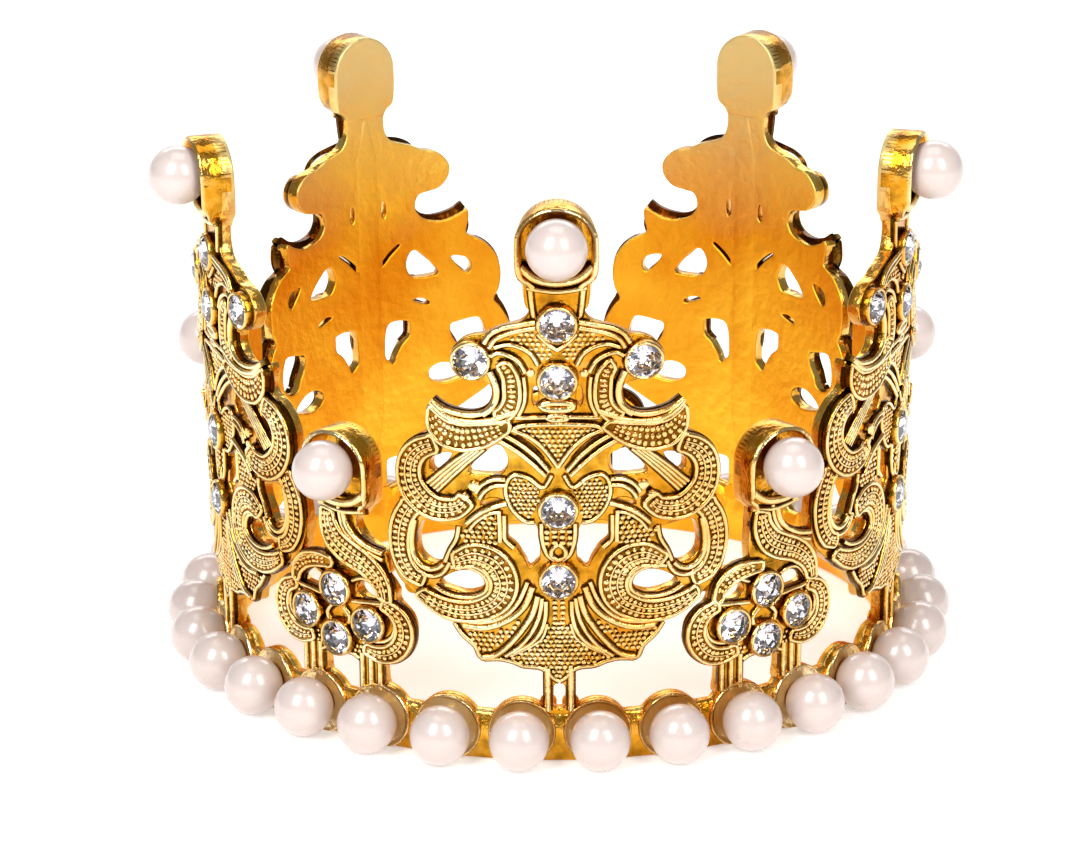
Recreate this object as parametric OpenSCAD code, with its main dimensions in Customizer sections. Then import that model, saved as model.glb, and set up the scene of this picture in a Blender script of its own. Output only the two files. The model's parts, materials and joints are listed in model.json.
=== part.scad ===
// Small round crown: a pearl-set base band, five tall openwork panels and five short ones between them.
// The origin is the centre of the band's flat underside. +Z is up and the front tall panel faces -Y.

/* [Band] */
// Radius of the circle through the centres of the band's pearls
ring_r = 32; // [27:0.5:39]
// Diameter of every pearl
pearl_d = 5; // [4:0.1:6]
// Radial thickness of the cast band and of the panels
metal_t = 1.2; // [1:0.1:1.6]

/* [Panels] */
// Height of the middle of the tall panels' pearl cups above the band's underside
tall_h = 45; // [37:0.5:54]
// Height of the middle of the short panels' pearl cups above the band's underside
short_h = 24.4; // [20:0.2:29.4]
// How far the panels lean outwards over their height, in degrees
flare = 1.2; // [0:0.1:4]

/* [Settings] */
// Diameter of every round stone
stone_d = 2.9; // [2.4:0.1:3.5]
// Wall thickness of the stone bezels
bezel_t = 0.3; // [0.2:0.05:0.4]
// Wall thickness of the pearl cups
cup_t = 0.45; // [0.3:0.05:0.6]
// Diameter of the cast pegs that the half-drilled pearls are glued on
peg_d = 0.9; // [0.7:0.1:1.2]

/* [Hidden] */
$fn = 48;

// Five equal sectors, each centred on a tall panel that stands over a gap between two pearls
fifths = 5;
sector = 360 / fifths;
pearls_per_fifth = 6;
pearl_count = fifths * pearls_per_fifth;
pearl_step = sector / pearls_per_fifth;
pearl_r = pearl_d / 2;
stone_r = stone_d / 2;
fit_gap = 0.03;
overrun = 1;

// Each pearl is let into the band's outer face by this much
sink = 0.3;
face_r = ring_r - pearl_r + sink;
bore_r = face_r - metal_t;
pearl_z = pearl_r + 0.1;
pad_r = pearl_r + 0.65;
pad_rise = 0.3;
band_h = pearl_z + 0.65 * pearl_r;
peg_h = 1.9;

// The outlines are drawn for a band of this face radius and for cups at these heights
drawn_face_r = 29.8;
drawn_tall_h = 45;
drawn_short_h = 24.4;
drawn_foot_z = 5;
drawn_neck_z = 15;
foot_z = 2 * pearl_r;
plate_low = 0.5 * pearl_r;
lean_z = pearl_z + pad_r + 0.5;

// Outer face radius of a panel at a height: upright at the foot, then leaning outwards
function lean_r(z) = face_r + max(0, z - lean_z) * tan(flare);
// Heights in the outlines stretch with the tall panels, and the short panels' necks with their own cups
function tall_z(z) = foot_z + (z - drawn_foot_z) * (tall_h - foot_z) / (drawn_tall_h - drawn_foot_z);
function short_z(z) = z <= drawn_neck_z ? tall_z(z)
    : tall_z(drawn_neck_z) + (z - drawn_neck_z) * (short_h - tall_z(drawn_neck_z)) / (drawn_short_h - drawn_neck_z);
// A distance along the drawn face becomes an angle, and the angle a distance across the plan
function turn(s) = s / drawn_face_r * 180 / PI;
function turn_to(x) = asin(x / face_r);
function across(s) = face_r * sin(turn(s));
function rolled_tall(p) = [across(p[0]), tall_z(p[1])];
function rolled_short(p) = [across(p[0]), short_z(p[1])];
// Catmull-Rom curve between b and c, and a closed smooth line through all the points
function blend(a, b, c, d, t) =
    (2 * b + (c - a) * t + (2 * a - 5 * b + 4 * c - d) * t ^ 2 + (3 * b - a - 3 * c + d) * t ^ 3) / 2;
function smooth(p, steps) = let (n = len(p)) [
    for (i = [0 : n - 1], k = [0 : steps - 1])
        blend(p[(i + n - 1) % n], p[i], p[(i + 1) % n], p[(i + 2) % n], k / steps)
];
function mirrored(half) = concat(half, [for (i = [len(half) - 1 : -1 : 0]) [-half[i][0], half[i][1]]]);

// Right half of the tall panel's edge, from the neck down to the posts
tall_half = [
    [2.1, 42], [2.0, 39.6], [2.9, 38.1], [4.9, 37.2], [6.2, 36.2],
    [6.4, 34], [5.2, 33.2], [5.0, 31.8], [5.7, 30.6], [7.8, 30.0], [10.3, 30.8],
    [10.1, 28.5], [12, 27.1], [13.2, 25.2], [13.1, 23.2], [12.6, 22],
    [13.8, 20.4], [14.3, 18.6], [13.9, 16.2], [13.1, 14.9],
    [11.6, 13.6], [9.0, 12.0], [7.6, 10.5], [6.3, 8.7], [4.9, 8.9], [3.7, 9.3], [1.9, 8.7], [1.0, 7.4]
];
// Openings in the right half of the tall panel
tall_openings = [
    [[8.3, 26.4], [9.5, 27.1], [10.6, 26.6], [10.4, 25.6], [9.2, 25.2]],
    [[3.6, 26.2], [5.4, 27.0], [7.2, 26.0], [7.9, 24.8], [6.2, 24.7], [3.9, 25.0]],
    [[1.9, 20.7], [4.0, 20.9], [4.5, 20.0], [4.0, 19.2], [3.1, 18.2], [2.7, 16.9], [2.0, 18.6]],
    [[8.5, 20.1], [9.6, 20.6], [11.6, 20.4], [12.0, 19.2], [11.7, 17.8], [10.4, 16.7], [9.3, 18.2]],
    [[6.3, 15.3], [7.3, 16.4], [8.9, 16.3], [10.0, 15.4], [8.8, 14.7], [7.2, 14.7]]
];
// Middles of the tall panel's stones
tall_stones_at = [[0, 38.1], [-6.8, 34.85], [6.8, 34.85], [0, 33.3], [0, 22.2], [0, 16.1]];
// The two posts under the tall panel
post_s = 0.95;
post_w = 0.7;
post_top_z = 8.6;

// The short panel's plaque stands this far along the face from the middle of its cup
plaque_s = -0.8;
// Edge of the plaque, from its own middle
plaque = [
    [0, 16.0], [2.6, 15.9], [4.6, 15.2], [5.6, 14.0], [5.7, 13.0], [6.9, 11.8], [7.2, 10.2], [6.4, 8.6],
    [4.6, 7.4], [2.4, 7.2], [0, 7.5], [-2.4, 7.2], [-4.6, 7.4], [-6.4, 8.6], [-7.2, 10.2], [-6.8, 11.7],
    [-5.2, 12.9], [-4.7, 14.0], [-4.0, 15.2], [-2.6, 15.9]
];
// Edge of the scroll that carries the short panel's cup
neck = [
    [2.0, 23], [0.9, 19.8], [1.3, 18.5], [2.6, 17.6], [4.0, 17.2], [4.3, 15.9], [2.5, 14.9], [-1.5, 14.9],
    [-1.9, 16.4], [-2.2, 18.6], [-2.0, 23]
];
// Opening beside the plaque's top stone, the same on both sides
short_opening = [[4.8, 12.7], [3.9, 13.9], [2.4, 14.3], [1.9, 13.4], [2.9, 12.6]];
// Middles of the plaque's stones
short_stones_at = [for (p = [[0, 13.3], [-3.2, 10.7], [3.2, 10.7], [0, 8.9]]) [plaque_s + p[0], p[1]]];
// The two legs under the plaque, each on a pearl's scallop
leg_s = drawn_face_r * pearl_step / 2 * PI / 180;
leg_w = 2.4;
leg_top_z = 8.4;

// Cup for a pearl, measured from the plate's outer face
cup_r = pearl_r + cup_t + 0.15;
cup_depth = 1.6;
pearl_off = pearl_r + 0.1;

// Closed bezel for a stone, and the stone in it
bezel_r = stone_r + bezel_t;
bezel_h = 0.75;
stone_down = 0.15;
stone_deep = 1.0;
stone_high = 0.42;

// Tall and short panels touch where their arms meet, at this drawn distance from a tall panel's middle
link_s = 12.9;
link_z = 14.2;
link_w = 1.3;
arm_turn = 3.4;
arm_inset = 0.1;

// Solder tacks on the inner faces
tack_r = 0.7;
tack_t = 0.15;

module at_azimuth(a) rotate([0, 0, a]) children();

// Places a thing that stands on a curved face and points outwards
module facing(s, z, r) rotate([0, 0, turn(s)]) translate([0, -r, z]) rotate([90, 0, 0]) children();

// Cuts a flat upright outline to the curved, outward leaning thickness of a panel
module rolled_plate(top) intersection() {
    rotate_extrude($fn = 96)
        polygon([
            [bore_r, plate_low], [face_r, plate_low], [face_r, lean_z],
            [lean_r(top), top], [lean_r(top) - metal_t, top], [bore_r, lean_z]
        ]);
    rotate([90, 0, 0]) linear_extrude(2 * face_r) children();
}

// Arm that reaches round to the next panel, on the side where turning is positive
module arm(from_turn) rotate([0, 0, from_turn - 90]) rotate_extrude(angle = arm_turn, $fn = 96) {
    low = tall_z(link_z) - link_w / 2;
    high = low + link_w;
    polygon([
        [lean_r(low) - metal_t + arm_inset, low], [lean_r(low) - arm_inset, low],
        [lean_r(high) - arm_inset, high], [lean_r(high) - metal_t + arm_inset, high]
    ]);
}

// Half-drilled ball
module pearl(z, r) facing(0, z, r) difference() {
    sphere(pearl_r);
    translate([0, 0, -pearl_r - overrun]) cylinder(h = pearl_r + overrun, d = peg_d + 2 * fit_gap);
}

// Brilliant: a flat table, a slanted crown, a thin girdle and a cone down to the foil
module stone(s, z) facing(s, z, lean_r(z) + bezel_h - stone_down) rotate_extrude()
    polygon([
        [0, -stone_deep], [0.3 * stone_r, -stone_deep], [stone_r - fit_gap, -0.1],
        [stone_r - fit_gap, 0.05], [0.58 * stone_r, stone_high], [0, stone_high]
    ]);
module bezel(s, z) facing(s, z, lean_r(z) - 0.6 * metal_t)
    cylinder(h = 0.6 * metal_t + bezel_h, r = bezel_r);
module stone_seat(s, z) facing(s, z, lean_r(z) + bezel_h - stone_down - stone_deep)
    cylinder(h = stone_deep + stone_down + overrun, r = stone_r);

// Cup: round above with a narrower straight-sided foot, and a round hollow with a peg for the pearl
module cup_block(z) translate([0, metal_t - lean_r(z), 0]) rotate([90, 0, 0])
    linear_extrude(metal_t + cup_depth) {
        translate([0, z]) circle(cup_r);
        polygon([[-cup_r, z], [cup_r, z], [0.85 * cup_r, z - 1.3 * cup_r], [-0.85 * cup_r, z - 1.3 * cup_r]]);
    }
module cup_hollow(z) facing(0, z, lean_r(z)) difference() {
    cylinder(h = cup_depth + overrun, r = cup_r - cup_t);
    cylinder(h = peg_h, d = peg_d);
}

// What the band takes up under a panel, taken off the panel's foot so that it stands on the scallops
module foot_cut() {
    translate([0, 0, -overrun]) cylinder(h = band_h + overrun, r = ring_r);
    for (side = [-1, 1])
        at_azimuth(side * pearl_step / 2) facing(0, pearl_z, bore_r - overrun)
            cylinder(h = metal_t + 2 * overrun, r = pad_r);
}

// The band with a round pad behind each pearl, before the pearls are let in
module band_blank() difference() {
    union() {
        cylinder(h = band_h, r = face_r, $fn = 96);
        for (i = [0 : pearl_count - 1])
            at_azimuth((i + 0.5) * pearl_step) facing(0, pearl_z, bore_r - overrun)
                cylinder(h = overrun + metal_t + pad_rise, r = pad_r);
    }
    translate([0, 0, -pearl_d]) cylinder(h = 4 * pearl_d, r = bore_r, $fn = 96);
    translate([0, 0, -pearl_d]) cylinder(h = pearl_d, r = 2 * ring_r);
}

module base_band() color("goldenrod") {
    difference() {
        band_blank();
        for (i = [0 : pearl_count - 1])
            at_azimuth((i + 0.5) * pearl_step) facing(0, pearl_z, ring_r) sphere(pearl_r + fit_gap);
    }
    for (i = [0 : pearl_count - 1])
        at_azimuth((i + 0.5) * pearl_step) facing(0, pearl_z, face_r - 0.8 * metal_t)
            cylinder(h = 0.8 * metal_t + peg_h, d = peg_d);
}

module band_pearls(fifth) color("seashell")
    for (i = [0 : pearls_per_fifth - 1])
        at_azimuth(fifth * sector + (i + 0.5 - pearls_per_fifth / 2) * pearl_step) pearl(pearl_z, ring_r);

// Flat outlines of the two kinds of panel, as seen from outside
module tall_outline() difference() {
    union() {
        polygon([for (p = smooth(mirrored(tall_half), 3)) rolled_tall(p)]);
        for (side = [-1, 1])
            translate([side * post_s - post_w / 2, plate_low]) square([post_w, tall_z(post_top_z) - plate_low]);
    }
    for (side = [-1, 1], hole = tall_openings)
        scale([side, 1]) polygon([for (p = smooth(hole, 4)) rolled_tall(p)]);
}
module short_outline() difference() {
    union() {
        polygon([for (p = smooth(plaque, 3)) rolled_short([plaque_s + p[0], p[1]])]);
        polygon([for (p = smooth(neck, 3)) rolled_short(p)]);
        for (side = [-1, 1])
            translate([across(plaque_s + side * leg_s) - leg_w / 2, plate_low])
                square([leg_w, short_z(leg_top_z) - plate_low]);
    }
    for (side = [-1, 1])
        polygon([for (p = smooth(short_opening, 4)) rolled_short([plaque_s + side * p[0], p[1]])]);
}

module tall_panel(fifth) color("goldenrod") at_azimuth(fifth * sector) difference() {
    union() {
        rolled_plate(tall_h) tall_outline();
        arm(turn(link_s) - arm_turn);
        arm(-turn(link_s));
        cup_block(tall_h);
        for (p = tall_stones_at) bezel(p[0], tall_z(p[1]));
    }
    cup_hollow(tall_h);
    for (p = tall_stones_at) stone_seat(p[0], tall_z(p[1]));
    foot_cut();
}
module tall_pearl(fifth) color("seashell") at_azimuth(fifth * sector)
    pearl(tall_h, lean_r(tall_h) + pearl_off);
module tall_stones(fifth) color("lightcyan") at_azimuth(fifth * sector)
    for (p = tall_stones_at) stone(p[0], tall_z(p[1]));

module short_panel(fifth) color("goldenrod") at_azimuth((fifth + 0.5) * sector) difference() {
    union() {
        rolled_plate(short_h) short_outline();
        arm(sector / 2 - turn(link_s) - arm_turn);
        arm(turn(link_s) - sector / 2);
        cup_block(short_h);
        for (p = short_stones_at) bezel(p[0], short_z(p[1]));
    }
    cup_hollow(short_h);
    for (p = short_stones_at) stone_seat(p[0], short_z(p[1]));
    foot_cut();
}
module short_pearl(fifth) color("seashell") at_azimuth((fifth + 0.5) * sector)
    pearl(short_h, lean_r(short_h) + pearl_off);
module short_stones(fifth) color("lightcyan") at_azimuth((fifth + 0.5) * sector)
    for (p = short_stones_at) stone(p[0], short_z(p[1]));

// Round dab of solder across a seam, on the inner face
module tack(a, z) at_azimuth(a) facing(0, z, lean_r(z) - metal_t - tack_t) cylinder(h = tack_t, r = tack_r);
module foot_solder() color("darkgoldenrod")
    for (fifth = [0 : fifths - 1], side = [-1, 1]) {
        tack(fifth * sector + side * turn_to(post_s), pearl_z + 0.7 * pad_r);
        tack((fifth + 0.5) * sector + side * pearl_step / 2 + turn(plaque_s), pearl_z + pad_r);
    }
module side_solder() color("darkgoldenrod")
    for (fifth = [0 : fifths - 1], side = [-1, 1])
        tack(fifth * sector + side * turn(link_s), tall_z(link_z));

base_band();
band_pearls(0);  // band_pearls_front
band_pearls(1);  // band_pearls_right
band_pearls(2);  // band_pearls_back_right
band_pearls(3);  // band_pearls_back_left
band_pearls(4);  // band_pearls_left
tall_panel(0);  // tall_panel_front
tall_panel(1);  // tall_panel_right
tall_panel(2);  // tall_panel_back_right
tall_panel(3);  // tall_panel_back_left
tall_panel(4);  // tall_panel_left
tall_pearl(0);  // tall_pearl_front
tall_pearl(1);  // tall_pearl_right
tall_pearl(2);  // tall_pearl_back_right
tall_pearl(3);  // tall_pearl_back_left
tall_pearl(4);  // tall_pearl_left
tall_stones(0);  // tall_stones_front
tall_stones(1);  // tall_stones_right
tall_stones(2);  // tall_stones_back_right
tall_stones(3);  // tall_stones_back_left
tall_stones(4);  // tall_stones_left
short_panel(0);  // short_panel_front_right
short_panel(1);  // short_panel_right
short_panel(2);  // short_panel_back
short_panel(3);  // short_panel_left
short_panel(4);  // short_panel_front_left
short_pearl(0);  // short_pearl_front_right
short_pearl(1);  // short_pearl_right
short_pearl(2);  // short_pearl_back
short_pearl(3);  // short_pearl_left
short_pearl(4);  // short_pearl_front_left
short_stones(0);  // short_stones_front_right
short_stones(1);  // short_stones_right
short_stones(2);  // short_stones_back
short_stones(3);  // short_stones_left
short_stones(4);  // short_stones_front_left
foot_solder();
side_solder();
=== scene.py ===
import json
import math
import random
import bpy
import bmesh
from mathutils import Euler, Matrix, Vector

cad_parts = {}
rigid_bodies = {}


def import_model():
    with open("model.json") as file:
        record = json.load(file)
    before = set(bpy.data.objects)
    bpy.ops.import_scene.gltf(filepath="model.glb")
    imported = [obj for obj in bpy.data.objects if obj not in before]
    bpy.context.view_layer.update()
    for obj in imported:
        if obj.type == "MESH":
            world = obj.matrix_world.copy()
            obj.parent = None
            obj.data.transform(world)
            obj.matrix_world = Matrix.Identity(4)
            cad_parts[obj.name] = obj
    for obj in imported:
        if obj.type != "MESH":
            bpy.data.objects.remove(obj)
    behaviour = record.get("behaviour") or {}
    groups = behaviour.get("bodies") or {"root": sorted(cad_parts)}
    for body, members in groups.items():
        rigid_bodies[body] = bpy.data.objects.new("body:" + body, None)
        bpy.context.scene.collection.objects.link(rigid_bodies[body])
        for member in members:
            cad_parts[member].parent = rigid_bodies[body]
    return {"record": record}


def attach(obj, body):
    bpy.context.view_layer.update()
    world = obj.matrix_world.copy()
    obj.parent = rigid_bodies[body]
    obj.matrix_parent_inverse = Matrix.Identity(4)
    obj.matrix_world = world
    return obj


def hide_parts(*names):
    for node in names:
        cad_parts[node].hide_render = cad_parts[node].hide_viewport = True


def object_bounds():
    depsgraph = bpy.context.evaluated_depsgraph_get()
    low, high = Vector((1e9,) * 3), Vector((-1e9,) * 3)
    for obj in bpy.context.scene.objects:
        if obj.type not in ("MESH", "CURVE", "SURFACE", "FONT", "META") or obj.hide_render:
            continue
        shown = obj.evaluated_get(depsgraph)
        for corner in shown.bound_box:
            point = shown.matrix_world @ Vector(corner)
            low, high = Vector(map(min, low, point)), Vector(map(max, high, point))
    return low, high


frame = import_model()
cad_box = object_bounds()
mm = 0.001

# ---- Camera ------------------------------------------------------------------------------------
# A long lens a little above the crown, in front of its first tall panel. It stands 43 cm away, so
# the back of the ring looks only a little smaller than its front.
camera_aim = Vector((0, 0, 2.6 * mm))
camera_away = 428.8 * mm
camera_above = math.radians(20.6)
camera_tilt = math.radians(71.45)
camera_turn = math.radians(0.22)
camera_roll = math.radians(-0.46)
camera_data = bpy.data.cameras.new("camera")
camera_data.lens = 161.7
camera_data.sensor_width = 36
camera_data.clip_start = 10 * mm
camera_data.clip_end = 5
camera = bpy.data.objects.new("camera", camera_data)
bpy.context.scene.collection.objects.link(camera)
level = Vector((0, -math.cos(camera_above), math.sin(camera_above)))
camera.matrix_world = (
    Matrix.Translation(camera_aim + camera_away * level)
    @ Euler((camera_tilt, 0, camera_turn)).to_matrix().to_4x4()
    @ Matrix.Rotation(camera_roll, 4, "Z")
)
bpy.context.scene.camera = camera


# ---- Floor and light ---------------------------------------------------------------------------
# A sheet of matt white paper that runs back and curves up behind. Two upright soft boxes stand in
# front of the crown, with a broad one above it and another behind.
def linear(hex_colour):
    """sRGB hex to a linear colour."""
    parts = [int(hex_colour[i:i + 2], 16) / 255 for i in (1, 3, 5)]
    return [c / 12.92 if c <= 0.04045 else ((c + 0.055) / 1.055) ** 2.4 for c in parts] + [1.0]


def add_node(material, kind, settings=None, links=None):
    """A node with its settings, and its inputs linked from other nodes' outputs or set to values."""
    node = material.node_tree.nodes.new(kind)
    for name, value in (settings or {}).items():
        setattr(node, name, value)
    for name, value in (links or {}).items():
        if isinstance(value, bpy.types.NodeSocket):
            material.node_tree.links.new(value, node.inputs[name])
        else:
            node.inputs[name].default_value = value
    return node


def new_material(name):
    """An empty node material, with its output node."""
    material = bpy.data.materials.new(name)
    material.use_nodes = True
    material.node_tree.nodes.clear()
    return material, material.node_tree.nodes.new("ShaderNodeOutputMaterial")


floor_z = cad_box[0].z - 0.05 * mm
floor_half = 1.2
backdrop_up = 1.2
backdrop_bend = 0.6
bpy.ops.object.select_all(action="DESELECT")
bpy.ops.mesh.primitive_plane_add(size=2 * floor_half, location=(0, 0, floor_z))
floor = bpy.context.object
floor.name = "floor"
bpy.ops.object.mode_set(mode="EDIT")
bpy.ops.mesh.select_all(action="DESELECT")
bpy.ops.object.mode_set(mode="OBJECT")
for edge in floor.data.edges:
    edge.select = all(floor.data.vertices[v].co.y > 0 for v in edge.vertices)
bpy.ops.object.mode_set(mode="EDIT")
bpy.ops.mesh.select_mode(type="EDGE")
bpy.ops.mesh.extrude_region_move(TRANSFORM_OT_translate={"value": (0, 0, backdrop_up)})
bpy.ops.object.mode_set(mode="OBJECT")
bend = floor.modifiers.new("bend", "BEVEL")
bend.width = backdrop_bend
bend.segments = 16
bpy.ops.object.modifier_apply(modifier="bend")
bpy.ops.object.shade_smooth()

# Uncoated paper: no gloss, and a faint waviness about 17 mm across. It glows a little, which stands
# for the light that a white studio throws back on it.
paper, output = new_material("matt_white_paper")
place = add_node(paper, "ShaderNodeTexCoord")
wave = add_node(paper, "ShaderNodeTexNoise", {},
                {"Vector": place.outputs["Object"], "Scale": 0.06 / mm, "Detail": 3.0})
tint = add_node(paper, "ShaderNodeMix", {"data_type": "RGBA"},
                {"Factor": wave.outputs["Fac"], "A": linear("#FBFBFA"), "B": linear("#F6F6F5")})
sheet = add_node(paper, "ShaderNodeBsdfPrincipled", {},
                 {"Base Color": tint.outputs["Result"], "Roughness": 0.85, "Specular IOR Level": 0.2,
                  "Emission Color": linear("#FFFFFF"), "Emission Strength": 0.36})
paper.node_tree.links.new(sheet.outputs[0], output.inputs["Surface"])
floor.data.materials.append(paper)

light_aim = Vector((0, 0, 20 * mm))
lights = [
    ("key_box", (-0.26, -0.42, 0.42), (0.24, 0.40), 2.55, "#FFFFFF"),
    ("fill_box", (0.29, -0.42, 0.38), (0.20, 0.40), 1.8, "#FFFDFA"),
    ("top_box", (0.0, 0.05, 0.75), (0.50, 0.40), 1.2, "#FFFFFF"),
    ("back_box", (0.0, 0.55, 0.40), (0.70, 0.20), 1.2, "#FFFFFF"),
]
for name, spot, size, watts, colour in lights:
    bpy.ops.object.light_add(type="AREA", location=spot)
    lamp = bpy.context.object
    lamp.name = name
    lamp.data.shape = "RECTANGLE"
    lamp.data.size, lamp.data.size_y = size
    lamp.data.energy = watts
    lamp.data.color = linear(colour)[:3]
    lamp.rotation_euler = (light_aim - Vector(spot)).to_track_quat("-Z", "Y").to_euler()

world = bpy.data.worlds.new("studio")
bpy.context.scene.world = world
world.use_nodes = True
world.node_tree.nodes["Background"].inputs["Color"].default_value = linear("#E8ECF2")
world.node_tree.nodes["Background"].inputs["Strength"].default_value = 0.34
bpy.context.scene.view_settings.view_transform = "Standard"

# ---- Tall panels -------------------------------------------------------------------------------
# Five openwork castings of gold-plated zinc alloy: scrolls edged with round wires and filled with
# rows of grains, on a plate that is smooth behind. They are soldered to the band by two posts.
mounts = {m["name"]: m for m in frame["record"]["mounts"]}
bore_r = mounts["band_bore"]["dims"]["r_mm"]
wall = 1.2
face_r = bore_r + wall
lean_from = 6.25
lean = math.tan(math.radians(1.2))
ground = 0.02
point_gap = 0.3
sides = ["front", "right", "back_right", "back_left", "left"]
panel_step = 360 / len(sides)


def face_radius(z):
    """Radius of a panel's outer face at a height, in mm."""
    return face_r + max(0.0, z - lean_from) * lean


def rolled(s, z, h):
    """A point of the flat drawing (along the face, up it, out of it, in mm), rolled round the ring."""
    turn = s / face_r
    r = face_radius(z) + h
    return (r * math.sin(turn) * mm, -r * math.cos(turn) * mm, z * mm)


def line_through(points, gap, closed=False):
    """A smooth line through the points, stepped at even gaps in mm."""
    count = len(points)
    steps_between = 12
    dense = []
    for i in range(count if closed else count - 1):
        a, b, c, d = (
            Vector(points[(i + k) % count] if closed else points[min(max(i + k, 0), count - 1)])
            for k in (-1, 0, 1, 2)
        )
        for k in range(steps_between):
            t = k / steps_between
            dense.append((2 * b + (c - a) * t + (2 * a - 5 * b + 4 * c - d) * t ** 2
                          + (3 * b - a - 3 * c + d) * t ** 3) / 2)
    dense.append(Vector(points[0] if closed else points[-1]))
    runs = [0.0]
    for a, b in zip(dense, dense[1:]):
        runs.append(runs[-1] + (b - a).length)
    steps = max(2, round(runs[-1] / gap))
    line, at = [], 0
    for i in range(steps + (0 if closed else 1)):
        want = runs[-1] * i / steps
        while at < len(runs) - 2 and runs[at + 1] < want:
            at += 1
        span = runs[at + 1] - runs[at] or 1
        line.append(dense[at].lerp(dense[at + 1], min(1, (want - runs[at]) / span)))
    return line


def side_at(line, i, closed):
    """Unit vector across a line at one of its points."""
    last = len(line) - 1
    a = line[i - 1] if i or closed else line[0]
    b = line[(i + 1) % len(line)] if i < last or closed else line[last]
    along = (b - a).normalized()
    return Vector((along.y, -along.x))


def width_along(widths, share):
    """Width at a share of a line's length, between widths given at even steps."""
    place = share * (len(widths) - 1)
    low = min(int(place), len(widths) - 2)
    return widths[low] + (widths[low + 1] - widths[low]) * (place - low)


# Raised shapes are let into the plate by this much, and a low one has a flat skirt along its foot painted
# dark: painted shadow, with some patina in the hollow
sunk = 0.3
shade_skirt = 0.11
shade_skirt_h = 0.012
foot_h = 0.04
highest_low_wire = 0.42

# Anything deeper than this is the unpolished back, and this is the hole in the plate under a stone
back_below = -wall + 0.1
seat_r = 1.38
dice = random.Random(7)


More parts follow.
